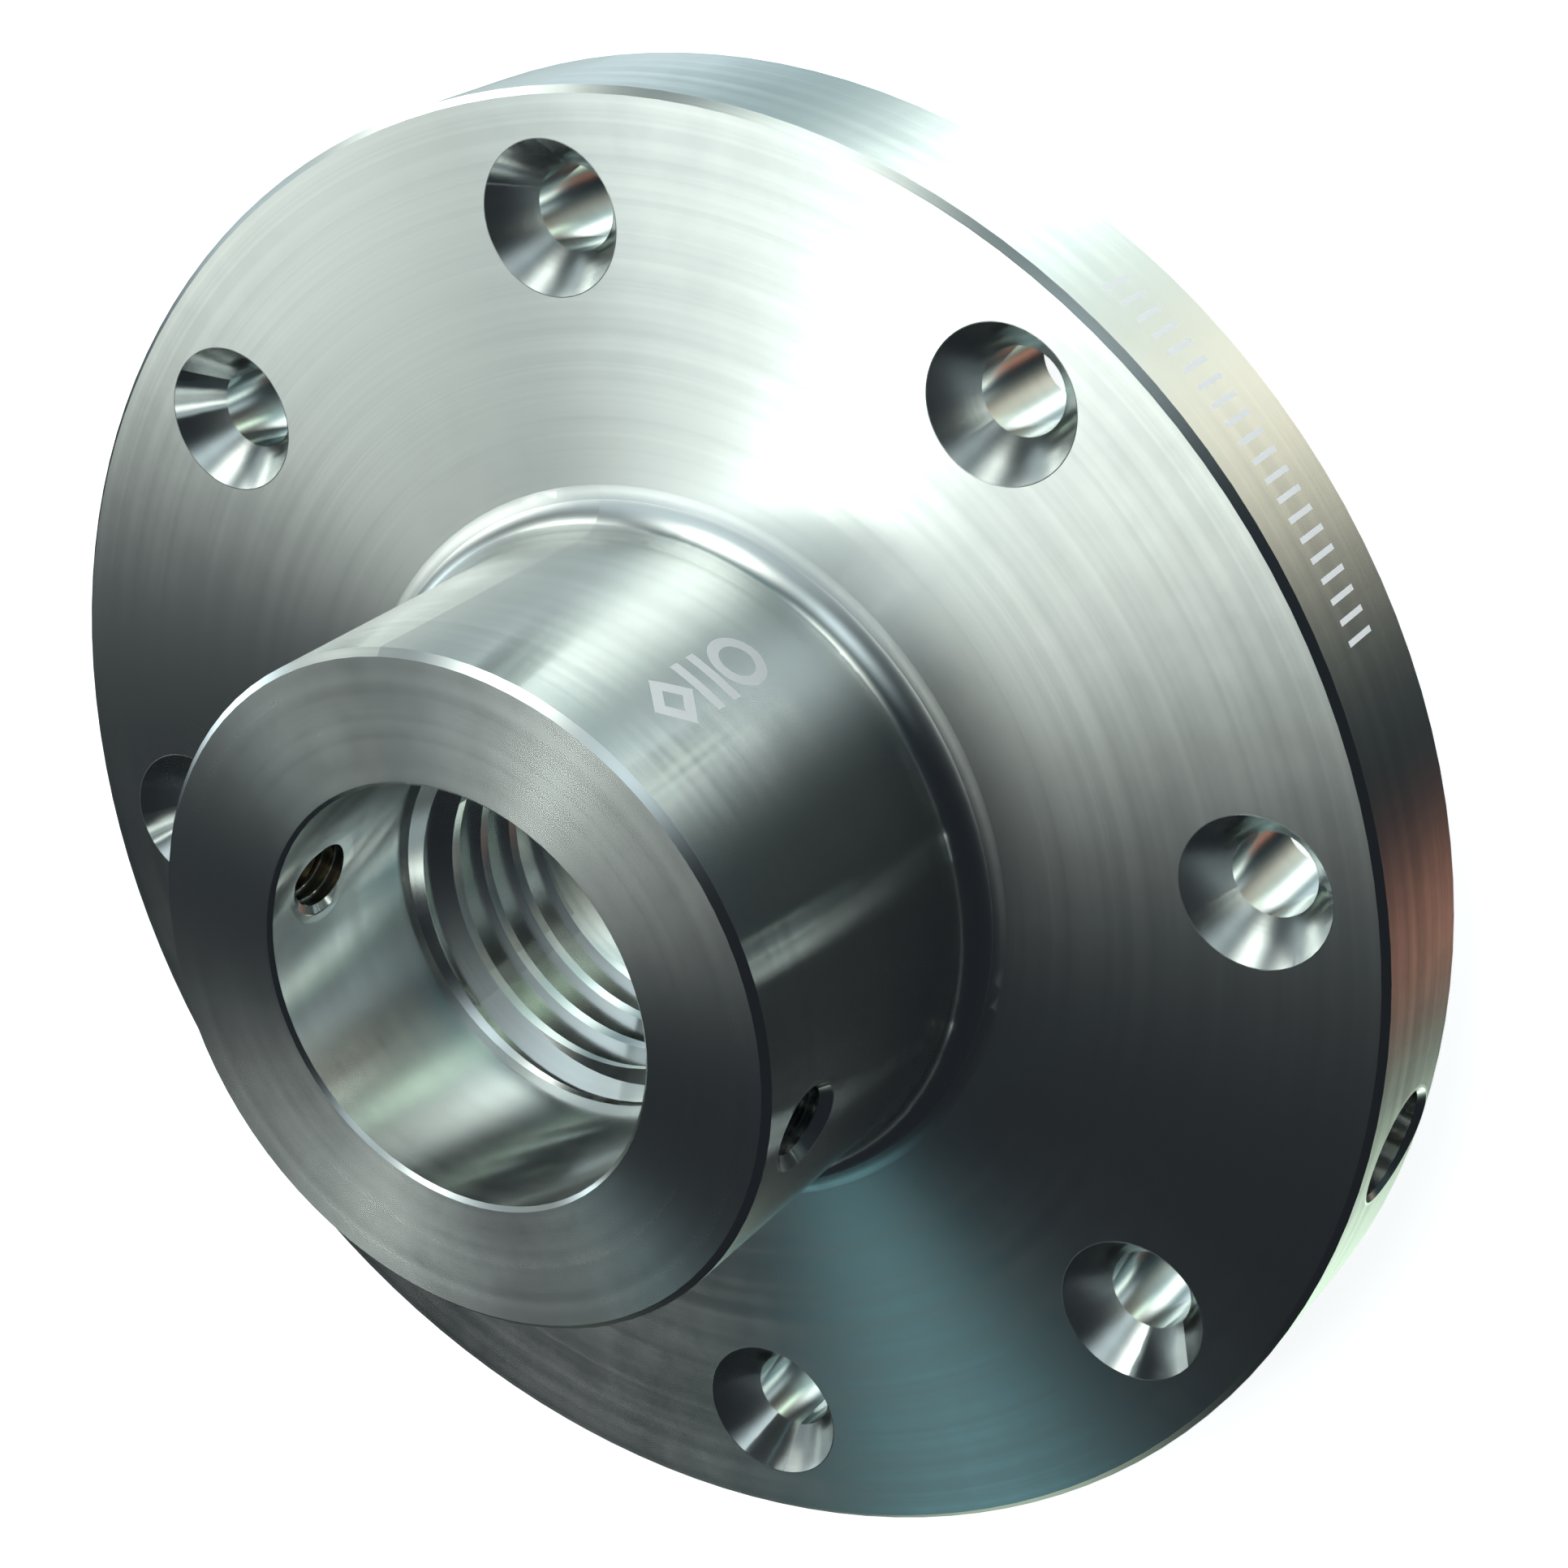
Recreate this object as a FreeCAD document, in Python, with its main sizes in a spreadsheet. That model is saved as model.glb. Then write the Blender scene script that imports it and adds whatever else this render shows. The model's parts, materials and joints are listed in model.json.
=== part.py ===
# Faceplate for a woodturning lathe: a round steel plate with a short hub, turned from one piece.
# The hub screws onto the lathe's spindle nose, and two grub screws in it, each on a soft brass
# pad, grip the spindle's plain register. Wood screws go through the plate from the hub side.
#
# Frame: +Z is the bore axis and points out of the hub. The origin is the centre of the flat
# face that the wood is screwed to. Millimetres and degrees throughout.
import FreeCAD, Part
import os

import Sketcher

os.makedirs("parts", exist_ok=True)
doc = FreeCAD.newDocument("Faceplate")

tinyVolume = 1e-3
sameEdge = 1e-4
fullTurn = 360
# name of each grub screw's side, and its direction round the hub from the front one
grubSides = {"front": 0, "rear": 180}

# ---------------------------------------------------------------- driving dimensions

driving = [
    ("plateDia", 112.0, "outside diameter of the plate"),
    ("plateThick", 12.0, "thickness of the plate"),
    ("hubWall", 9.5, "wall of the hub around the register"),
    ("overallHeight", 38.5, "wood face to hub face"),
    ("baseFillet", 3.0, "radius where the hub meets the plate"),
    ("edgeBreak", 0.5, "chamfer on the outer edges"),
    ("mouthBreak", 0.3, "chamfer at the mouth of the register"),
    ("registerStep", 0.5, "plain register bore outside the thread's nominal radius"),
    ("registerDepth", 15.0, "length of the register bore"),
    ("threadDia", 30.0, "spindle thread, nominal diameter"),
    ("threadPitch", 3.5, "spindle thread, coarse pitch"),
    ("threadLeadIn", 2.2, "length of the cone in front of the thread"),
    ("threadStartAngle", 126.0, "where the spindle thread's first turn begins"),
    ("pilotStep", 2.5, "drilled pilot bore inside the thread's nominal radius"),
    ("backRecessStep", 1.0, "recess behind the thread, outside the nominal radius"),
    ("backRecessDepth", 8.5, "depth of that recess"),
    ("backLeadOut", 1.6, "length of the cone behind the thread"),
    ("screwEdge", 9.0, "wood-screw hole's centre to the rim"),
    ("screwHoleCount", 8, "number of wood-screw holes"),
    ("screwHoleDia", 6.2, "clear hole for the wood screw"),
    ("countersinkDia", 11.0, "mouth of the countersink"),
    ("countersinkDepth", 3.2, "depth of the countersink"),
    ("barHoleDia", 8.0, "hole in the rim for a tommy bar"),
    ("barHoleDepth", 18.0, "full-diameter depth of that hole"),
    ("barHoleSkin", 1.0, "metal between that hole and the wood face"),
    ("barHoleAngle", -112.5, "its direction, midway between two screw holes"),
    ("drillPointLength", 2.4, "cone that the drill leaves at the hole's end"),
    ("grubDia", 6.0, "grub screw thread, nominal diameter"),
    ("grubPitch", 1.0, "grub screw thread, coarse pitch"),
    ("grubSunk", 2.3, "grub screw's socket end below the hub's side"),
    ("grubDrop", 5.5, "grub screw axis below the hub face"),
    ("grubAngle", -112.5, "direction of the front grub screw"),
    ("grubMouthStep", 0.4, "countersink's radius outside the grub screw's"),
    ("grubPointDia", 4.0, "flat point of a grub screw"),
    ("grubEndBreak", 0.5, "chamfer on a grub screw's socket end"),
    ("socketFlats", 3.0, "hexagon socket across flats"),
    ("socketDepth", 2.0, "depth of the socket"),
    ("flankAngle", 30.0, "between a thread's flank and the normal to its axis"),
    ("threadAllowance", 0.06, "gap between the grub screw's thread and its hole"),
    ("padThick", 1.0, "thickness of a brass pad"),
    ("padRecess", 2.15, "pad's face to the register wall, screw backed off"),
    ("padAllowance", 0.1, "radial gap around a pad"),
    ("padEdgeBreak", 0.2, "chamfer on a pad"),
    ("endGap", 0.05, "gap between a pad and its screw's point"),
    ("overrun", 1.0, "how far a cutter runs past the metal"),
    ("dieStartAngle", 75.0, "where that cutter starts, turned away from the blank's seam"),
    ("dieOverrun", 0.25, "the same for the cutter of the grub screws' thread"),
]

sheet = doc.addObject("Spreadsheet::Sheet", "Sizes")
for row, (alias, value, meaning) in enumerate(driving, start=1):
    sheet.set(f"A{row}", alias)
    sheet.set(f"B{row}", str(value))
    sheet.set(f"C{row}", meaning)
    sheet.setAlias(f"B{row}", alias)
doc.recompute()

# ---------------------------------------------------------------- formulas shared by pieces


def holeCrest(dia, pitch):
    """Crest radius of a tapped metric hole: 5/8 of the sharp thread's height inside nominal."""
    return f"({dia} / 2 - 5 / 8 * sqrt(3) / 2 * {pitch})"


def screwRoot(dia, pitch):
    """Root radius of a metric screw: 17/24 of the sharp thread's height inside nominal."""
    return f"({dia} / 2 - 17 / 24 * sqrt(3) / 2 * {pitch})"


def rootFlat(pitch):
    """Half the width of the flat at the bottom of a tapped hole's groove."""
    return f"{pitch} / 16"


def cutterInset(pitch):
    """How far a tap's cutter reaches inside the crest of the hole."""
    return f"{pitch} / 12"


spindleCrest = holeCrest("Sizes.threadDia", "Sizes.threadPitch")
grubHoleCrest = holeCrest("Sizes.grubDia", "Sizes.grubPitch")
grubRoot = screwRoot("Sizes.grubDia", "Sizes.grubPitch")
grubCrest = "(Sizes.grubDia / 2 - Sizes.threadAllowance)"

pilotRadius = "(Sizes.threadDia / 2 - Sizes.pilotStep)"
registerRadius = "(Sizes.threadDia / 2 + Sizes.registerStep)"
hubRadius = f"({registerRadius} + Sizes.hubWall)"
registerFloor = "(Sizes.overallHeight - Sizes.registerDepth)"
grubHeight = "(Sizes.overallHeight - Sizes.grubDrop)"
grubThreadStart = f"({registerRadius} - Sizes.grubPitch)"
padFace = f"({registerRadius} + Sizes.padRecess)"
padBack = f"({padFace} + Sizes.padThick)"
grubPoint = f"({padBack} + Sizes.endGap)"
grubEnd = f"({hubRadius} - Sizes.grubSunk)"


def size(formula):
    """Value of a formula over the sheet's names."""
    return float(sheet.evalExpression(formula))


# ---------------------------------------------------------------- modelling helpers


def originPart(body, role):
    return next(part for part in body.Origin.OriginFeatures if part.Role == role)


def addSketch(body, name, plane="XZ_Plane", turn=None, about=(0, 1, 0), shift=None):
    """A sketch on one of the body's origin planes, turned about one of its axes and shifted."""
    sketch = body.newObject("Sketcher::SketchObject", name)
    sketch.AttachmentSupport = [(originPart(body, plane), "")]
    sketch.MapMode = "FlatFace"
    if turn:
        sketch.AttachmentOffset = FreeCAD.Placement(
            FreeCAD.Vector(), FreeCAD.Rotation(FreeCAD.Vector(*about), size(turn))
        )
        sketch.setExpression("AttachmentOffset.Rotation.Angle", turn)
    for axis, formula in (shift or {}).items():
        sketch.setExpression(f"AttachmentOffset.Base.{axis}", formula)
    return sketch


def pinCorner(sketch, line, x, y):
    """Fix a line's start point at x, y, each given as a formula."""
    for kind, formula, crossAxis in (("DistanceX", x, -2), ("DistanceY", y, -1)):
        if formula == "0":
            sketch.addConstraint(Sketcher.Constraint("PointOnObject", line, 1, crossAxis))
        else:
            place = size(formula)
            index = sketch.addConstraint(Sketcher.Constraint(kind, -1, 1, line, 1, place))
            sketch.setExpression(f"Constraints[{index}]", formula)


def drawOutline(sketch, corners):
    """A closed outline through the corners, each a pair of formulas."""
    points = [FreeCAD.Vector(size(x), size(y), 0) for x, y in corners]
    for here, there in zip(points, points[1:] + points[:1]):
        sketch.addGeometry(Part.LineSegment(here, there), False)
    for line in range(len(points)):
        following = (line + 1) % len(points)
        sketch.addConstraint(Sketcher.Constraint("Coincident", line, 2, following, 1))
    for line, (x, y) in enumerate(corners):
        pinCorner(sketch, line, x, y)
    doc.recompute()


def addFeature(body, kind, name, sketch, axis=None, sector=None, **formulas):
    """A PartDesign feature on a sketch. It has to change the body's volume."""
    before = body.Shape.Volume if not body.Shape.isNull() else 0.0
    feature = body.newObject(f"PartDesign::{kind}", name)
    feature.Profile = (sketch, [""])
    if axis:
        feature.ReferenceAxis = (sketch, [axis])
    if sector:
        feature.Angle = sector
    for prop, formula in formulas.items():
        feature.setExpression(prop, formula)
    feature.Refine = False
    sketch.Visibility = False
    doc.recompute()
    if abs(body.Shape.Volume - before) < tinyVolume:
        raise RuntimeError(f"{name} changes nothing")
    return feature


def addPattern(body, name, originals, occurrences):
    """Copies of features, evenly spaced around the body's Z axis."""
    before = body.Shape.Volume
    pattern = body.newObject("PartDesign::PolarPattern", name)
    pattern.Originals = originals
    pattern.Axis = (originPart(body, "Z_Axis"), [""])
    pattern.Angle = fullTurn
    pattern.setExpression("Occurrences", occurrences)
    pattern.Refine = False
    body.Tip = pattern
    doc.recompute()
    if body.Shape.Volume > before - tinyVolume:
        raise RuntimeError(f"{name} cuts nothing")
    return pattern


def addEdgeFeature(body, kind, name, rings, prop, formula):
    """A fillet or chamfer on circular edges, each given by its radius and height."""
    base = body.Tip
    wanted = [(size(radius), size(height)) for radius, height in rings]
    names = []
    for number, edge in enumerate(base.Shape.Edges, start=1):
        if not isinstance(edge.Curve, Part.Circle):
            continue
        found = edge.Curve.Radius, edge.Curve.Center.z
        if any(abs(found[0] - r) + abs(found[1] - z) < sameEdge for r, z in wanted):
            names.append(f"Edge{number}")
    if len(names) != len(wanted):
        raise RuntimeError(f"{name} found {len(names)} of {len(wanted)} edges")
    feature = body.newObject(f"PartDesign::{kind}", name)
    feature.Base = (base, names)
    feature.setExpression(prop, formula)
    doc.recompute()
    return feature


def grooveHalfWidth(dia, pitch, radius):
    """Half the width of a tapped hole's groove at a radius."""
    return f"({rootFlat(pitch)} + ({dia} / 2 - {radius}) * tan(Sizes.flankAngle))"


def drawTapGroove(sketch, start, dia, pitch, alongX):
    """Outline of a tapped hole's groove, centred on start along the hole's axis."""
    inner = f"({holeCrest(dia, pitch)} - {cutterInset(pitch)})"
    outer = f"({dia} / 2)"
    corners = []
    for radius, side in ((inner, -1), (outer, -1), (outer, 1), (inner, 1)):
        along = f"{start} + {side} * {grooveHalfWidth(dia, pitch, radius)}"
        corners.append((along, radius) if alongX else (radius, along))
    drawOutline(sketch, corners)


# ---------------------------------------------------------------- faceplate


def makeFaceplate():
    body = doc.addObject("PartDesign::Body", "faceplate")
    turnBlank(body)
    drillScrewHoles(body)
    drillBarHole(body)
    tapGrubHoles(body)
    cutSpindleThread(body)
    return body


def turnBlank(body):
    """Plate and hub with the stepped bore, before the threads and the drilled holes."""
    plateRadius = "Sizes.plateDia / 2"
    threadRadius = "Sizes.threadDia / 2"
    recessRadius = f"({threadRadius} + Sizes.backRecessStep)"
    sketch = addSketch(body, "TurnedProfile")
    # each cone runs from the nominal thread radius down to the pilot bore
    slope = f"Sizes.pilotStep / ({threadRadius} - {spindleCrest})"
    drawOutline(
        sketch,
        [
            (recessRadius, "0"),
            (plateRadius, "0"),
            (plateRadius, "Sizes.plateThick"),
            (hubRadius, "Sizes.plateThick"),
            (hubRadius, "Sizes.overallHeight"),
            (registerRadius, "Sizes.overallHeight"),
            (registerRadius, registerFloor),
            (threadRadius, registerFloor),
            (pilotRadius, f"{registerFloor} - Sizes.threadLeadIn * {slope}"),
            (pilotRadius, f"Sizes.backRecessDepth + Sizes.backLeadOut * {slope}"),
            (threadRadius, "Sizes.backRecessDepth"),
            (recessRadius, "Sizes.backRecessDepth"),
        ],
    )
    addFeature(body, "Revolution", "Turned", sketch, "V_Axis")
    hubBase = [(hubRadius, "Sizes.plateThick")]
    addEdgeFeature(body, "Fillet", "HubBase", hubBase, "Radius", "Sizes.baseFillet")
    outerEdges = [
        (plateRadius, "Sizes.plateThick"),
        (plateRadius, "0"),
        (hubRadius, "Sizes.overallHeight"),
        (recessRadius, "0"),
    ]
    addEdgeFeature(body, "Chamfer", "OuterEdges", outerEdges, "Size", "Sizes.edgeBreak")
    mouth = [(registerRadius, "Sizes.overallHeight")]
    addEdgeFeature(body, "Chamfer", "RegisterMouth", mouth, "Size", "Sizes.mouthBreak")


def drillScrewHoles(body):
    """Countersunk wood-screw holes, equally spaced on their pitch circle."""
    circleRadius = "Sizes.plateDia / 2 - Sizes.screwEdge"
    sketch = addSketch(body, "ScrewHoleProfile", shift={"x": circleRadius})
    holeRadius = "Sizes.screwHoleDia / 2"
    sinkRadius = "Sizes.countersinkDia / 2"
    sinkFloor = "Sizes.plateThick - Sizes.countersinkDepth"
    flare = f"({sinkRadius} - {holeRadius}) / Sizes.countersinkDepth"
    drawOutline(
        sketch,
        [
            ("0", "-Sizes.overrun"),
            (holeRadius, "-Sizes.overrun"),
            (holeRadius, sinkFloor),
            (f"{sinkRadius} + Sizes.overrun * {flare}", "Sizes.plateThick + Sizes.overrun"),
            ("0", "Sizes.plateThick + Sizes.overrun"),
        ],
    )
    hole = addFeature(body, "Groove", "ScrewHole", sketch, "V_Axis")
    addPattern(body, "ScrewHoles", [hole], "Sizes.screwHoleCount")


def drillBarHole(body):
    """Blind radial hole in the rim, which takes a tommy bar."""
    sketch = addSketch(
        body,
        "BarHoleProfile",
        turn="Sizes.barHoleAngle",
        shift={"y": "Sizes.barHoleSkin + Sizes.barHoleDia / 2"},
    )
    rim = "Sizes.plateDia / 2"
    radius = "Sizes.barHoleDia / 2"
    floor = f"{rim} - Sizes.barHoleDepth"
    drawOutline(
        sketch,
        [
            (f"{floor} - Sizes.drillPointLength", "0"),
            (floor, radius),
            (f"{rim} - Sizes.edgeBreak", radius),
            (f"{rim} + Sizes.overrun", f"{radius} + Sizes.edgeBreak + Sizes.overrun"),
            (f"{rim} + Sizes.overrun", "0"),
        ],
    )
    addFeature(body, "Groove", "BarHole", sketch, "H_Axis")


def tapGrubHoles(body):
    """Tapped radial holes through the hub wall into the register bore."""
    place = {"turn": "Sizes.grubAngle", "shift": {"y": grubHeight}}
    inside = f"{registerRadius} - Sizes.overrun"
    outside = f"{hubRadius} + Sizes.overrun"
    mouthRadius = "(Sizes.grubDia / 2 + Sizes.grubMouthStep)"
    mouthFloor = f"{hubRadius} - ({mouthRadius} - {grubHoleCrest})"
    drill = addSketch(body, "GrubHoleProfile", **place)
    drawOutline(
        drill,
        [
            (inside, "0"),
            (inside, grubHoleCrest),
            (mouthFloor, grubHoleCrest),
            (outside, f"{mouthRadius} + Sizes.overrun"),
            (outside, "0"),
        ],
    )
    hole = addFeature(body, "Groove", "GrubHole", drill, "H_Axis")
    tap = addSketch(body, "GrubTapProfile", **place)
    drawTapGroove(tap, grubThreadStart, "Sizes.grubDia", "Sizes.grubPitch", alongX=True)
    travel = f"{hubRadius} + Sizes.grubPitch - {grubThreadStart}"
    turns = {"Pitch": "Sizes.grubPitch", "Height": travel}
    thread = addFeature(body, "SubtractiveHelix", "GrubTap", tap, "H_Axis", **turns)
    addPattern(body, "GrubHoles", [hole, thread], str(len(grubSides)))


def cutSpindleThread(body):
    """The bore is opened to the thread's crest in six equal sectors, then the thread is cut."""
    sketch = addSketch(body, "CrestBoreProfile")
    inside = f"{pilotRadius} - Sizes.overrun"
    drawOutline(
        sketch,
        [
            (inside, "Sizes.backRecessDepth"),
            (spindleCrest, "Sizes.backRecessDepth"),
            (spindleCrest, registerFloor),
            (inside, registerFloor),
        ],
    )
    sectors = 6
    cut = addFeature(body, "Groove", "CrestSector", sketch, "V_Axis", sector=fullTurn / sectors)
    addPattern(body, "CrestBore", [cut], str(sectors))
    start = "(Sizes.backRecessDepth - Sizes.threadPitch)"
    cutter = addSketch(body, "ThreadProfile", turn="Sizes.threadStartAngle")
    drawTapGroove(cutter, start, "Sizes.threadDia", "Sizes.threadPitch", alongX=False)
    travel = f"{registerFloor} + Sizes.threadPitch - {start}"
    turns = {"Pitch": "Sizes.threadPitch", "Height": travel}
    addFeature(body, "SubtractiveHelix", "SpindleThread", cutter, "V_Axis", **turns)


# ---------------------------------------------------------------- grub screws and pads


def radialPlacement(body, angle):
    """Stand a piece, drawn along +X from the bore axis, in its grub screw hole."""
    body.Placement = FreeCAD.Placement(
        FreeCAD.Vector(0, 0, size(grubHeight)),
        FreeCAD.Rotation(FreeCAD.Vector(0, 0, 1), size(angle)),
    )
    body.setExpression("Placement.Base.z", grubHeight)
    body.setExpression("Placement.Rotation.Angle", angle)


def dieHalfWidth(radius):
    """Half the width of a grub screw's groove at a radius: it leaves a tooth that fits the hole."""
    hole = grooveHalfWidth("Sizes.grubDia", "Sizes.grubPitch", radius)
    tooth = f"({hole} - Sizes.threadAllowance / cos(Sizes.flankAngle))"
    return f"(Sizes.grubPitch / 2 - {tooth})"


def makeGrubScrew(name, angle):
    """Hexagon-socket set screw with a flat point towards the bore."""
    body = doc.addObject("PartDesign::Body", name)
    radialPlacement(body, angle)
    blank = addSketch(body, f"{name}_blank")
    pointRadius = "Sizes.grubPointDia / 2"
    drawOutline(
        blank,
        [
            (grubPoint, "0"),
            (grubPoint, pointRadius),
            (f"{grubPoint} + ({grubCrest} - {pointRadius})", grubCrest),
            (f"{grubEnd} - Sizes.grubEndBreak", grubCrest),
            (grubEnd, f"{grubCrest} - Sizes.grubEndBreak"),
            (grubEnd, "0"),
        ],
    )
    addFeature(body, "Revolution", f"{name}_turned", blank, "H_Axis")
    socket = addSketch(body, f"{name}_hexagon", "YZ_Plane", shift={"z": grubEnd})
    corner = "Sizes.socketFlats / sqrt(3)"
    sides = 6
    turns = [(side + 0.5) * fullTurn / sides for side in range(sides)]
    drawOutline(
        socket, [(f"{corner} * cos({turn})", f"{corner} * sin({turn})") for turn in turns]
    )
    addFeature(body, "Pocket", f"{name}_socket", socket, Length="Sizes.socketDepth")
    # The groove stands half a pitch from the hole's groove, so the screw's tooth fills that.
    # It starts a pitch or more before the point, a whole number of turns from the hole's.
    halfPitch = "Sizes.grubPitch / 2"
    lead = f"({grubPoint} - {grubThreadStart} - {halfPitch})"
    firstTurn = f"(floor({lead} / Sizes.grubPitch) - 1)"
    lag = f"Sizes.dieStartAngle / {fullTurn} * Sizes.grubPitch"
    start = f"({grubThreadStart} + {firstTurn} * Sizes.grubPitch + {halfPitch} + {lag})"
    crestHalfWidth = dieHalfWidth(grubCrest)
    rootHalfWidth = dieHalfWidth(grubRoot)
    clear = f"({grubCrest} + Sizes.dieOverrun)"
    die = addSketch(body, f"{name}_die", turn="Sizes.dieStartAngle", about=(1, 0, 0))
    drawOutline(
        die,
        [
            (f"{start} - {crestHalfWidth}", clear),
            (f"{start} - {crestHalfWidth}", grubCrest),
            (f"{start} - {rootHalfWidth}", grubRoot),
            (f"{start} + {rootHalfWidth}", grubRoot),
            (f"{start} + {crestHalfWidth}", grubCrest),
            (f"{start} + {crestHalfWidth}", clear),
        ],
    )
    travel = f"{grubEnd} + Sizes.grubPitch - {start}"
    turns = {"Pitch": "Sizes.grubPitch", "Height": travel}
    addFeature(body, "SubtractiveHelix", f"{name}_thread", die, "H_Axis", **turns)
    return body


def makePad(name, angle):
    """Soft brass disc between a grub screw and the spindle."""
    body = doc.addObject("PartDesign::Body", name)
    radialPlacement(body, angle)
    sketch = addSketch(body, f"{name}_profile")
    radius = f"({grubHoleCrest} - Sizes.padAllowance)"
    broken = f"{radius} - Sizes.padEdgeBreak"
    drawOutline(
        sketch,
        [
            (padFace, "0"),
            (padFace, broken),
            (f"{padFace} + Sizes.padEdgeBreak", radius),
            (f"{padBack} - Sizes.padEdgeBreak", radius),
            (padBack, broken),
            (padBack, "0"),
        ],
    )
    addFeature(body, "Revolution", f"{name}_turned", sketch, "H_Axis")
    return body


# ---------------------------------------------------------------- build, check and write

pieces = [makeFaceplate()]
for side, turn in grubSides.items():
    angle = f"Sizes.grubAngle + {turn}"
    pieces.append(makeGrubScrew(f"{side}_grub_screw", angle))
    pieces.append(makePad(f"{side}_brass_pad", angle))
doc.recompute()

for item in doc.Objects:
    if "Invalid" in item.State or "Error" in item.State:
        raise RuntimeError(f"{item.Name} failed: {item.State}")
for piece in pieces:
    shape = piece.Shape
    if shape.isNull() or not shape.isValid() or len(shape.Solids) != 1:
        raise RuntimeError(f"{piece.Label} is not one valid solid")
    shape.exportStep(f"parts/{piece.Label}.step")
    print(f"{piece.Label}: {shape.Volume:.1f} mm3")
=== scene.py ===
# Woodturning faceplate, laid on its wood face: turned steel, black grub screws on brass pads.
import json
import math
import bpy
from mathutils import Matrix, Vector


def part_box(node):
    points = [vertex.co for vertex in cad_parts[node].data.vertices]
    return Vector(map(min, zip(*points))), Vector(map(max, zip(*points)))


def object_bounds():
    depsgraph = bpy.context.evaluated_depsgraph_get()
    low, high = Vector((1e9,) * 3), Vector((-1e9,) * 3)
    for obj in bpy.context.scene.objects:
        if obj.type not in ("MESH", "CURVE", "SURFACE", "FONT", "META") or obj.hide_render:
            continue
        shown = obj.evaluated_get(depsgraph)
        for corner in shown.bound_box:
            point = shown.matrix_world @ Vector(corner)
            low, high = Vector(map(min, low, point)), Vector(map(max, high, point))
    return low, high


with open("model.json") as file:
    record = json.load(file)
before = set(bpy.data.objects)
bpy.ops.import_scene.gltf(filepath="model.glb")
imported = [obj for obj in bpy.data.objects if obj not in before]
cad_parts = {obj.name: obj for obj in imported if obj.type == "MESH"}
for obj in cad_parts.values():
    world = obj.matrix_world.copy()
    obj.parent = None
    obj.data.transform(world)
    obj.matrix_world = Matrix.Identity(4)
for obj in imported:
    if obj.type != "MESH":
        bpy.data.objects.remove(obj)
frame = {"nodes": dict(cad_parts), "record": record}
cadLow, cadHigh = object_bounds()
parts = frame["nodes"]
bpy.ops.object.select_all(action="DESELECT")
print("loaded", len(parts), "parts")

millimetre = 0.001


# helpers for node trees: most add a node and give back its output
def newMaterial(name):
    material = bpy.data.materials.new(name)
    material.use_nodes = True
    tree = material.node_tree
    for node in list(tree.nodes):
        tree.nodes.remove(node)
    shader = tree.nodes.new("ShaderNodeBsdfPrincipled")
    output = tree.nodes.new("ShaderNodeOutputMaterial")
    tree.links.new(shader.outputs["BSDF"], output.inputs["Surface"])
    return material, tree, shader


def plug(tree, socket, value):
    if isinstance(value, bpy.types.NodeSocket):
        tree.links.new(value, socket)
    elif value is not None:
        socket.default_value = value


def mathOf(tree, operation, *values, clamp=False):
    node = tree.nodes.new("ShaderNodeMath")
    node.operation = operation
    node.use_clamp = clamp
    for socket, value in zip(node.inputs, values):
        plug(tree, socket, value)
    return node.outputs[0]


def vectorOf(tree, operation, *values, scale=None):
    node = tree.nodes.new("ShaderNodeVectorMath")
    node.operation = operation
    for socket, value in zip(node.inputs, values):
        plug(tree, socket, value)
    if scale is not None:
        plug(tree, node.inputs["Scale"], scale)
    return node.outputs["Value" if operation in ("LENGTH", "DOT_PRODUCT") else "Vector"]


def joinXyz(tree, x=0.0, y=0.0, z=0.0):
    node = tree.nodes.new("ShaderNodeCombineXYZ")
    for socket, value in zip(node.inputs, (x, y, z)):
        plug(tree, socket, value)
    return node.outputs[0]


def splitXyz(tree, vector):
    node = tree.nodes.new("ShaderNodeSeparateXYZ")
    plug(tree, node.inputs[0], vector)
    return node.outputs


# low where the factor is 0, high where it is 1
def pick(tree, kind, factor, low, high):
    node = tree.nodes.new("ShaderNodeMix")
    node.data_type = kind
    first = {"FLOAT": 2, "VECTOR": 4, "RGBA": 6}[kind]
    plug(tree, node.inputs[0], factor)
    plug(tree, node.inputs[first], low)
    plug(tree, node.inputs[first + 1], high)
    return node.outputs[{"FLOAT": 0, "VECTOR": 1, "RGBA": 2}[kind]]


def noiseOf(tree, vector, scale, detail=2.0, roughness=0.5, dimensions="3D"):
    node = tree.nodes.new("ShaderNodeTexNoise")
    node.noise_dimensions = dimensions
    plug(tree, node.inputs["Vector"], vector)
    plug(tree, node.inputs["Scale"], scale)
    plug(tree, node.inputs["Detail"], detail)
    plug(tree, node.inputs["Roughness"], roughness)
    return node.outputs[0]


# takes a 0 to 1 value to low to high
def spread(tree, value, low, high):
    return mathOf(tree, "MULTIPLY_ADD", value, high - low, low)


# a value with a 0 to 1 pattern added, up to sway above and below it
def swayed(tree, value, pattern, sway):
    return mathOf(tree, "ADD", value, spread(tree, pattern, -sway, sway))


def invert(tree, value):
    return mathOf(tree, "SUBTRACT", 1.0, value)


# 1 between low and high, else 0
def bandOf(tree, value, low, high):
    above = mathOf(tree, "GREATER_THAN", value, low)
    return mathOf(tree, "MULTIPLY", above, mathOf(tree, "LESS_THAN", value, high))


# place on the part, in millimetres
def objectPoint(tree):
    place = tree.nodes.new("ShaderNodeTexCoord").outputs["Object"]
    return vectorOf(tree, "SCALE", place, scale=1 / millimetre)


# bumps of the given height in millimetres
def addBumps(tree, shader, pattern, height):
    bump = tree.nodes.new("ShaderNodeBump")
    bump.inputs["Distance"].default_value = height * millimetre
    plug(tree, bump.inputs["Height"], pattern)
    plug(tree, shader.inputs["Normal"], bump.outputs["Normal"])


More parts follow.
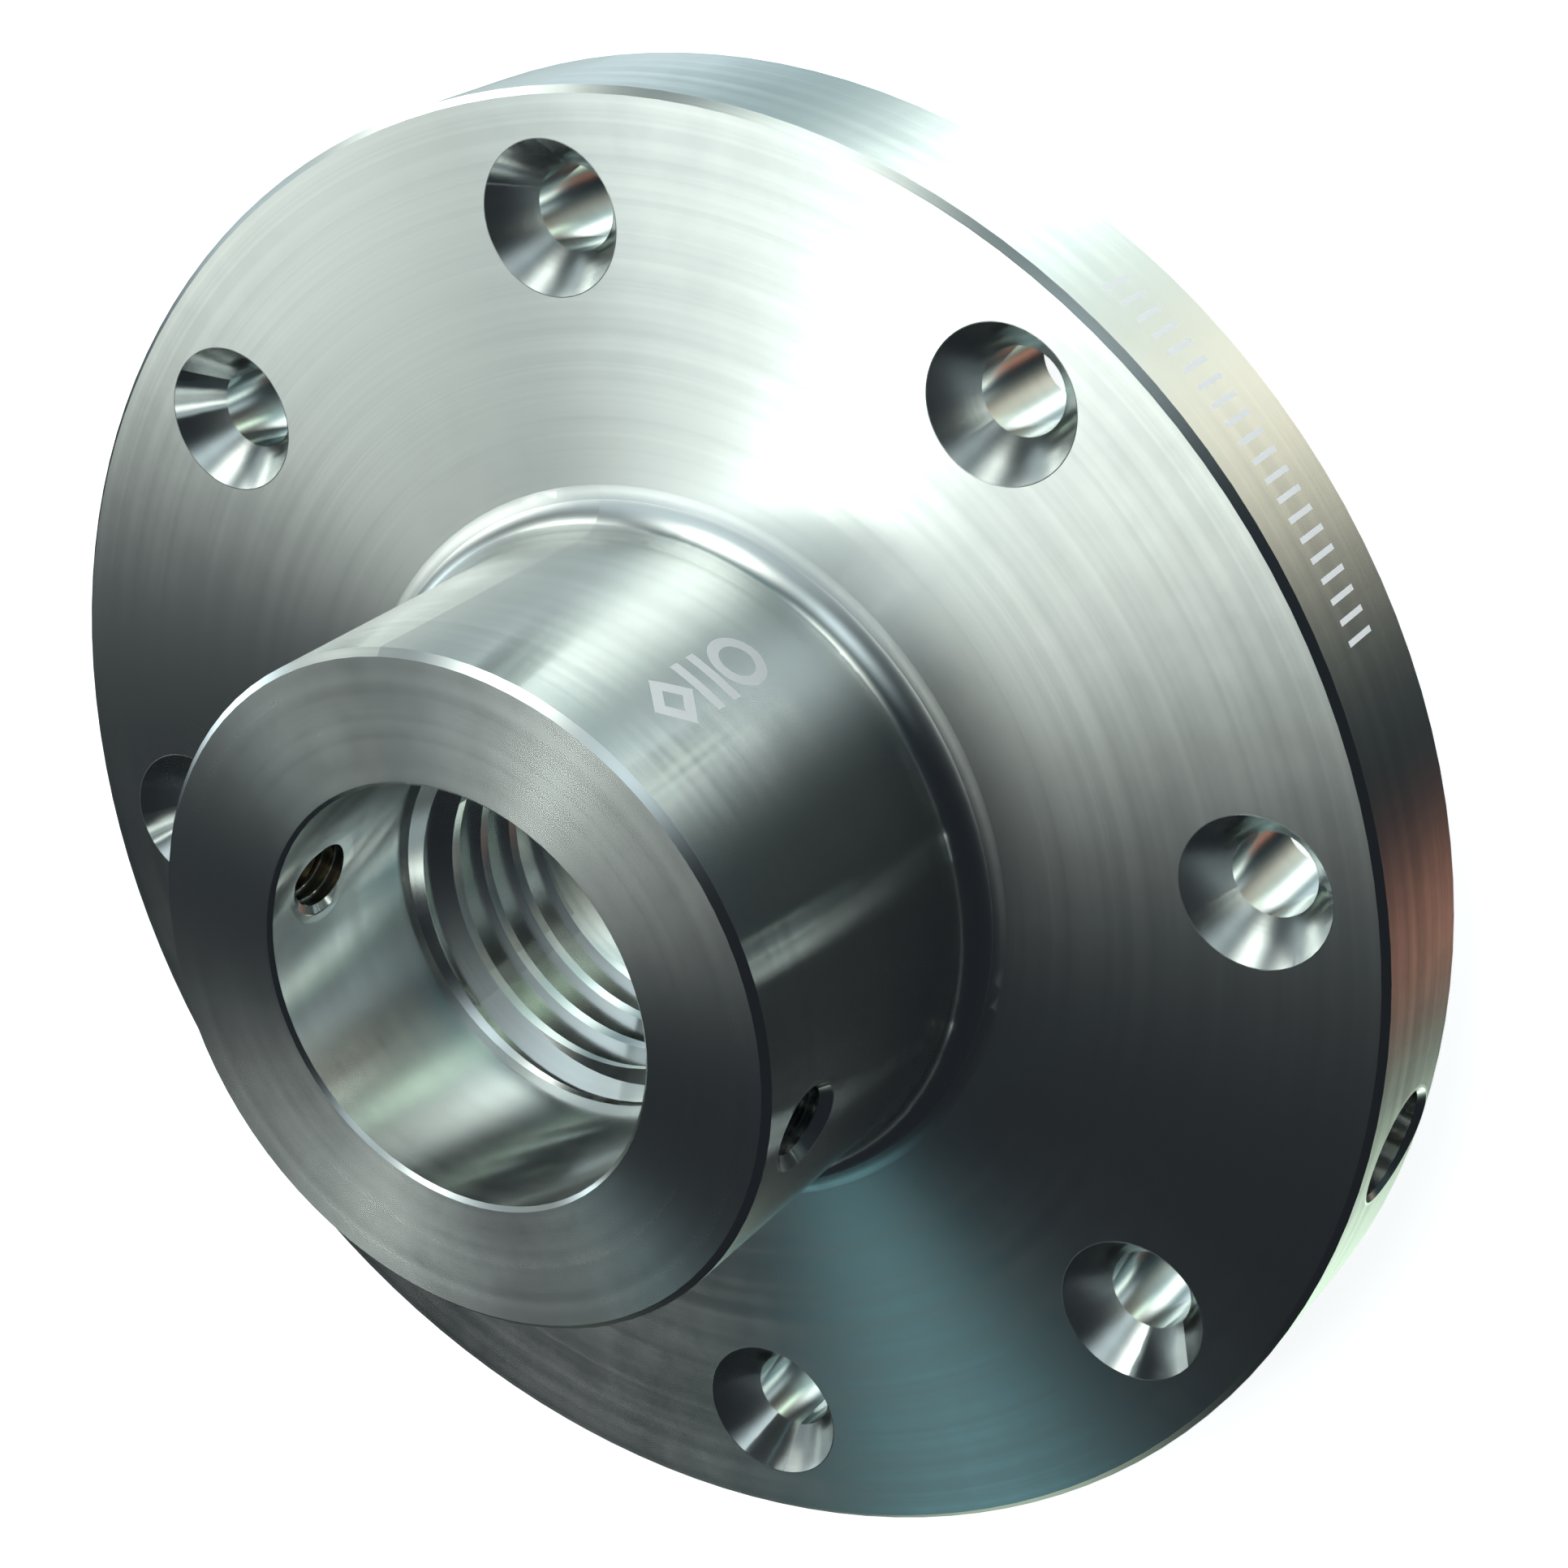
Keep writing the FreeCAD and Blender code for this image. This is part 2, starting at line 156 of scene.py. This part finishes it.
def mountCalled(name):
    return next(m for m in frame["record"]["mounts"] if m["name"] == name)


screwRing = mountCalled("wood_screw_holes")["dims"]
barHole = mountCalled("tommy_bar_hole")
grubLow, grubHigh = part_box("front_grub_screw")

steel = {
    "colour": (0.82, 0.84, 0.82, 1),
    "dull": (0.66, 0.68, 0.67, 1),
    "roughness": 0.2,
    "hubFaceRoughness": 0.05,  # more than the rest
    "hubFaceDepth": 0.15,
    "holeRoughness": 0.15,
    "edgeRoughness": 0.1,
    "anisotropy": 1.0,
    "lean": 7.0,  # degrees that the plate's turning marks face outward
    "fineLines": 3.0,  # per millimetre
    "lineHeight": 0.0015,  # millimetres
    "bands": 0.9,
    "bandSway": 0.05,
    "bandDullness": 0.55,
    "patches": 0.045,
    "patchSway": 0.05,
    "smudges": 0.35,
    "smudgeSway": 0.03,
    "edgeTilt": (0.35, 0.94),  # the part of the normal that points up, on chamfers and fillets
    "sinkRadius": 5.56,
    "grubMouthRadius": 3.5,
    "barMouthRadius": 4.6,
    "hubRadius": 25.0,
    "plateFrom": 27.0,  # past the fillet
    "margin": 0.2,  # either side of a surface that a mark is on
}


# for a radial hole: distance from its axis, distance along it, and the way round it
def aroundRadialAxis(tree, point, direction, height):
    offset = vectorOf(tree, "SUBTRACT", point, (0, 0, height))
    along = vectorOf(tree, "DOT_PRODUCT", offset, direction)
    foot = vectorOf(tree, "SCALE", tuple(direction), scale=along)
    distance = vectorOf(tree, "LENGTH", vectorOf(tree, "SUBTRACT", offset, foot))
    around = vectorOf(tree, "CROSS_PRODUCT", tuple(direction), offset)
    return distance, along, around


def makeTurnedSteel():
    material, tree, shader = newMaterial("turned_steel_fine")
    point = objectPoint(tree)
    x, y, z = splitXyz(tree, point)
    radius = vectorOf(tree, "LENGTH", joinXyz(tree, x, y))
    angle = mathOf(tree, "ARCTAN2", y, x)

    # the nearest wood-screw hole
    step = 2 * math.pi / screwRing["count"]
    turn = mathOf(tree, "SNAP", mathOf(tree, "ADD", angle, step / 2), step)
    ringRadius = screwRing["pcd_mm"] / 2
    holeX = mathOf(tree, "MULTIPLY", mathOf(tree, "COSINE", turn), ringRadius)
    holeY = mathOf(tree, "MULTIPLY", mathOf(tree, "SINE", turn), ringRadius)
    fromHole = vectorOf(tree, "SUBTRACT", joinXyz(tree, x, y), joinXyz(tree, holeX, holeY))
    holeDistance = vectorOf(tree, "LENGTH", fromHole)
    inScrewHole = mathOf(tree, "LESS_THAN", holeDistance, steel["sinkRadius"])

    # the radial holes
    direction = barHole["axis"]
    grubHeight = (grubLow.z + grubHigh.z) / 2 / millimetre
    barHeight = barHole["pos_m"][2] / millimetre
    grubDistance, grubAlong, grubAround = aroundRadialAxis(tree, point, direction, grubHeight)
    barDistance, barAlong, barAround = aroundRadialAxis(tree, point, direction, barHeight)
    inGrubHole = mathOf(tree, "LESS_THAN", grubDistance, steel["grubMouthRadius"])
    inBarHole = mathOf(tree, "LESS_THAN", barDistance, steel["barMouthRadius"])
    outsideHub = mathOf(tree, "GREATER_THAN", barAlong, steel["hubRadius"])
    inBarHole = mathOf(tree, "MULTIPLY", inBarHole, outsideHub)

    # the way the tool ran, and the two distances that its lines follow
    around = vectorOf(tree, "CROSS_PRODUCT", (0, 0, 1), point)
    holeAround = vectorOf(tree, "CROSS_PRODUCT", (0, 0, 1), fromHole)
    lines = joinXyz(tree, radius, z)
    for inside, itsAround, itsLines in (
        (inScrewHole, holeAround, joinXyz(tree, holeDistance, z)),
        (inGrubHole, grubAround, joinXyz(tree, grubDistance, grubAlong)),
        (inBarHole, barAround, joinXyz(tree, barDistance, barAlong)),
    ):
        around = pick(tree, "VECTOR", inside, around, itsAround)
        lines = pick(tree, "VECTOR", inside, lines, itsLines)
    inHole = mathOf(tree, "MAXIMUM", mathOf(tree, "MAXIMUM", inScrewHole, inGrubHole), inBarHole)
    offHole = invert(tree, inHole)

    # turning lines: fine ones, broader bands, and patches where they fade
    fine = noiseOf(tree, lines, steel["fineLines"], detail=1.0, dimensions="2D")
    bands = noiseOf(tree, lines, steel["bands"], detail=3.0, dimensions="2D")
    patches = noiseOf(tree, point, steel["patches"], detail=3.0)
    smudges = noiseOf(tree, point, steel["smudges"], detail=4.0, roughness=0.65)

    dullness = spread(tree, bands, 0.0, steel["bandDullness"])
    colour = pick(tree, "RGBA", dullness, steel["colour"], steel["dull"])
    rough = swayed(tree, steel["roughness"], bands, steel["bandSway"])
    rough = swayed(tree, rough, patches, steel["patchSway"])
    rough = swayed(tree, rough, smudges, steel["smudgeSway"])
    onHubFace = mathOf(tree, "GREATER_THAN", z, cadHigh.z / millimetre - steel["hubFaceDepth"])
    rough = mathOf(tree, "MULTIPLY_ADD", onHubFace, steel["hubFaceRoughness"], rough)
    rough = pick(tree, "FLOAT", inHole, rough, steel["holeRoughness"])

    # chamfers and fillets are smoother than the faces beside them
    normal = tree.nodes.new("ShaderNodeNewGeometry").outputs["Normal"]
    tilt = mathOf(tree, "ABSOLUTE", splitXyz(tree, normal)[2])
    onEdge = mathOf(tree, "MULTIPLY", bandOf(tree, tilt, *steel["edgeTilt"]), offHole)
    rough = pick(tree, "FLOAT", onEdge, rough, steel["edgeRoughness"])

    ticks = rimTicks(tree, angle, radius, z)
    etched = mathOf(tree, "MAXIMUM", hubMark(tree, angle, radius, z), ticks)
    colour = pick(tree, "RGBA", etched, colour, etch["colour"])
    rough = pick(tree, "FLOAT", etched, rough, etch["roughness"])

    # the marks on the plate's face lean outward, as the tool left them
    onPlate = mathOf(tree, "GREATER_THAN", radius, steel["plateFrom"])
    onPlate = mathOf(tree, "MULTIPLY", onPlate, offHole)
    slope = -math.tan(math.radians(steel["lean"])) / steel["lineHeight"]
    marks = mathOf(tree, "MULTIPLY", mathOf(tree, "MULTIPLY", radius, slope), onPlate)
    addBumps(tree, shader, mathOf(tree, "ADD", fine, marks), steel["lineHeight"])

    shader.inputs["Anisotropic"].default_value = steel["anisotropy"]
    shader.inputs["Anisotropic Rotation"].default_value = 0.25  # a quarter turn, across the lines
    plug(tree, shader.inputs["Tangent"], vectorOf(tree, "NORMALIZE", around))
    plug(tree, shader.inputs["Base Color"], colour)
    plug(tree, shader.inputs["Roughness"], rough)
    plug(tree, shader.inputs["Metallic"], invert(tree, etched))
    return material


etch = {
    "colour": (0.95, 0.96, 0.97, 1),
    "roughness": 0.6,
    "angle": -41.0,  # middle of the mark, degrees round the hub
    "top": 32.0,  # millimetres above the wood face
    "halfTall": 2.2,
    "stroke": 0.42,
    "diamondLine": 2.8,  # lines and bars in strokes
    "barLines": (1.2, 3.2),
    "ringLine": 2.0,
    "barsDown": 2.75,  # below the top, in half heights
    "ringDown": 4.5,
}


# a setting mark on the hub's side: a diamond, two bars and a ring
def hubMark(tree, angle, radius, z):
    middle = math.radians(etch["angle"])
    across = mathOf(tree, "MULTIPLY", mathOf(tree, "SUBTRACT", angle, middle), steel["hubRadius"])
    across = mathOf(tree, "ABSOLUTE", across)
    down = mathOf(tree, "SUBTRACT", etch["top"], z)
    tall, stroke = etch["halfTall"], etch["stroke"]

    fromDiamond = mathOf(tree, "ABSOLUTE", mathOf(tree, "SUBTRACT", down, tall))
    fromDiamond = mathOf(tree, "ADD", fromDiamond, across)
    diamond = bandOf(tree, fromDiamond, tall - etch["diamondLine"] * stroke, tall)

    fromBars = mathOf(tree, "ABSOLUTE", mathOf(tree, "SUBTRACT", down, etch["barsDown"] * tall))
    bars = bandOf(tree, fromBars, *[line * stroke for line in etch["barLines"]])
    bars = mathOf(tree, "MULTIPLY", bars, mathOf(tree, "LESS_THAN", across, tall))

    fromRing = mathOf(tree, "SUBTRACT", down, etch["ringDown"] * tall)
    fromRing = vectorOf(tree, "LENGTH", joinXyz(tree, fromRing, across))
    ring = bandOf(tree, fromRing, tall - etch["ringLine"] * stroke, tall)

    mark = mathOf(tree, "MAXIMUM", mathOf(tree, "MAXIMUM", diamond, bars), ring)
    onHub = bandOf(tree, radius, steel["hubRadius"] - steel["margin"], steel["hubRadius"] + steel["margin"])
    return mathOf(tree, "MULTIPLY", mark, onHub)


rimScale = {
    "from": -74.0,  # degrees round the rim
    "to": -44.0,
    "step": 1.5,
    "width": 0.42,
    "low": 4.4,
    "high": 7.8,
}


# short etched lines on part of the rim
def rimTicks(tree, angle, radius, z):
    step = math.radians(rimScale["step"])
    rimRadius = cadHigh.x / millimetre
    phase = mathOf(tree, "WRAP", angle, step / 2, -step / 2)
    halfWidth = rimScale["width"] / rimRadius / 2
    tick = mathOf(tree, "LESS_THAN", mathOf(tree, "ABSOLUTE", phase), halfWidth)
    tick = mathOf(tree, "MULTIPLY", tick, bandOf(tree, z, rimScale["low"], rimScale["high"]))
    here = bandOf(tree, angle, math.radians(rimScale["from"]), math.radians(rimScale["to"]))
    tick = mathOf(tree, "MULTIPLY", tick, here)
    onRim = mathOf(tree, "GREATER_THAN", radius, rimRadius - steel["margin"])
    return mathOf(tree, "MULTIPLY", tick, onRim)


screw = {
    "colour": (0.035, 0.036, 0.04, 1),
    "worn": (0.16, 0.155, 0.15, 1),
    "roughness": 0.38,
    "grain": 6.0,
    "grainSway": 0.12,
    "grainHeight": 0.004,  # millimetres
    "wear": 1.3,
    "wearFrom": 0.45,
    "wearContrast": 3.0,
}


def makeBlackScrew():
    material, tree, shader = newMaterial("black_screw_oxide")
    point = objectPoint(tree)
    grain = noiseOf(tree, point, screw["grain"], detail=4.0)
    wear = noiseOf(tree, point, screw["wear"], detail=5.0, roughness=0.6)
    contrast = screw["wearContrast"]
    worn = mathOf(tree, "MULTIPLY_ADD", wear, contrast, -contrast * screw["wearFrom"], clamp=True)
    plug(tree, shader.inputs["Base Color"], pick(tree, "RGBA", worn, screw["colour"], screw["worn"]))
    rough = swayed(tree, screw["roughness"], grain, screw["grainSway"])
    plug(tree, shader.inputs["Roughness"], rough)
    shader.inputs["Metallic"].default_value = 1.0
    addBumps(tree, shader, grain, screw["grainHeight"])
    return material


pad = {
    "colour": (0.5, 0.37, 0.18, 1),
    "dull": (0.28, 0.2, 0.1, 1),
    "roughness": 0.32,
    "lines": 4.0,
    "lineSway": 0.1,
    "lineHeight": 0.004,  # millimetres
    "tarnish": 0.8,
}


def makeBrassPad():
    material, tree, shader = newMaterial("brass_pad_turned")
    point = objectPoint(tree)
    height = (grubLow.z + grubHigh.z) / 2 / millimetre
    distance, along, _ = aroundRadialAxis(tree, point, barHole["axis"], height)
    lines = joinXyz(tree, distance, along)
    rings = noiseOf(tree, lines, pad["lines"], detail=2.0, dimensions="2D")
    tarnish = noiseOf(tree, point, pad["tarnish"], detail=4.0)
    plug(tree, shader.inputs["Base Color"], pick(tree, "RGBA", tarnish, pad["colour"], pad["dull"]))
    rough = swayed(tree, pad["roughness"], rings, pad["lineSway"])
    plug(tree, shader.inputs["Roughness"], rough)
    shader.inputs["Metallic"].default_value = 1.0
    addBumps(tree, shader, rings, pad["lineHeight"])
    return material


finishes = {
    "turned_steel": makeTurnedSteel(),
    "black_screw": makeBlackScrew(),
    "brass_pad": makeBrassPad(),
}
for part in frame["record"]["subparts"]:
    for slot in parts[part["node"]].material_slots:
        slot.material = finishes[part["material_slot"]]
print("finished", len(finishes), "materials")


floor = {
    "side": 8.0,
    "colour": (0.93, 0.94, 0.95, 1),
    "roughness": 0.9,
    "glow": 0.9,
}

bpy.ops.mesh.primitive_plane_add(size=floor["side"], location=(0, 0, cadLow.z))
floorSheet = bpy.context.object
floorSheet.name = "floor"
floorSheet.visible_glossy = False  # the steel shows the room, not the sheet it lies on
floorPaint, floorTree, floorShader = newMaterial("pale_floor")
floorShader.inputs["Base Color"].default_value = floor["colour"]
floorShader.inputs["Roughness"].default_value = floor["roughness"]
floorShader.inputs["Emission Color"].default_value = floor["colour"]
floorShader.inputs["Emission Strength"].default_value = floor["glow"]
floorSheet.data.materials.append(floorPaint)


room = {
    "base": (0.015, 0.018, 0.022),
    "white": (0.93, 1.0, 0.94),
    "cream": (1.0, 0.9, 0.7),
    "sky": (0.8, 0.95, 1.0),
    "teal": (0.4, 0.9, 1.0),
    "leaf": (0.8, 1.0, 0.8),
    "copper": (1.0, 0.45, 0.3),
}

# soft panels round the room: turn, height and size of the glow in degrees, colour, strength
panels = {
    "big screen": (75, 60, 7, "white", 1.6),
    "screen's low end": (75, 35, 8, "white", 2.0),
    "screen's foot": (90, 33, 5, "white", 1.0),
    "screen's top": (110, 80, 8, "white", 2.0),
    "small lamp": (100, 65, 2.5, "white", 7.0),
    "ceiling": (30, 50, 20, "sky", 0.8),
    "front lamp": (5, 25, 10, "white", 3.0),
    "second window": (-35, 35, 10, "sky", 1.0),
    "window": (-40, -15, 10, "white", 5.0),
    "side lamp": (45, -5, 10, "white", 2.5),
    "far wall": (80, -5, 10, "sky", 2.0),
    "low strip": (0, -55, 8, "white", 3.0),
    "warm strip": (-50, -75, 8, "cream", 3.5),
    "low back lamp": (170, -40, 10, "leaf", 2.5),
    "bench": (60, -50, 10, "sky", 1.2),
    "low glow": (-10, -35, 25, "teal", 0.4),
    "teal wall": (150, 35, 4, "teal", 0.6),
    "copper wall": (-150, -60, 5, "copper", 0.6),
}

world = bpy.data.worlds.new("room")
bpy.context.scene.world = world
world.use_nodes = True
worldTree = world.node_tree
direction = worldTree.nodes.new("ShaderNodeTexCoord").outputs["Generated"]
light = joinXyz(worldTree, *room["base"])
for turn, height, size, colour, strength in panels.values():
    turn, height = math.radians(turn), math.radians(height)
    towards = (math.cos(height) * math.cos(turn), math.cos(height) * math.sin(turn), math.sin(height))
    facing = mathOf(worldTree, "SUBTRACT", vectorOf(worldTree, "DOT_PRODUCT", direction, towards), 1.0)
    glow = mathOf(worldTree, "EXPONENT", mathOf(worldTree, "DIVIDE", facing, math.radians(size) ** 2))
    glow = mathOf(worldTree, "MULTIPLY", glow, strength)
    light = vectorOf(worldTree, "ADD", light, vectorOf(worldTree, "SCALE", room[colour], scale=glow))
plug(worldTree, worldTree.nodes["Background"].inputs["Color"], light)
print("lit by", len(panels), "panels")

camera = {
    "place": (0.0829, -0.13943, 0.19358),
    "turn": (-25.134, 31.489, -100.931),
    "lens": 76.32,
    "sensor": 36.0,
    "nearest": 0.01,
}

bpy.ops.object.camera_add(location=camera["place"], rotation=[math.radians(a) for a in camera["turn"]])
viewer = bpy.context.object
viewer.data.lens = camera["lens"]
viewer.data.sensor_width = camera["sensor"]
viewer.data.clip_start = camera["nearest"]
bpy.context.scene.camera = viewer
bpy.context.scene.view_settings.view_transform = "Standard"
print("camera set")
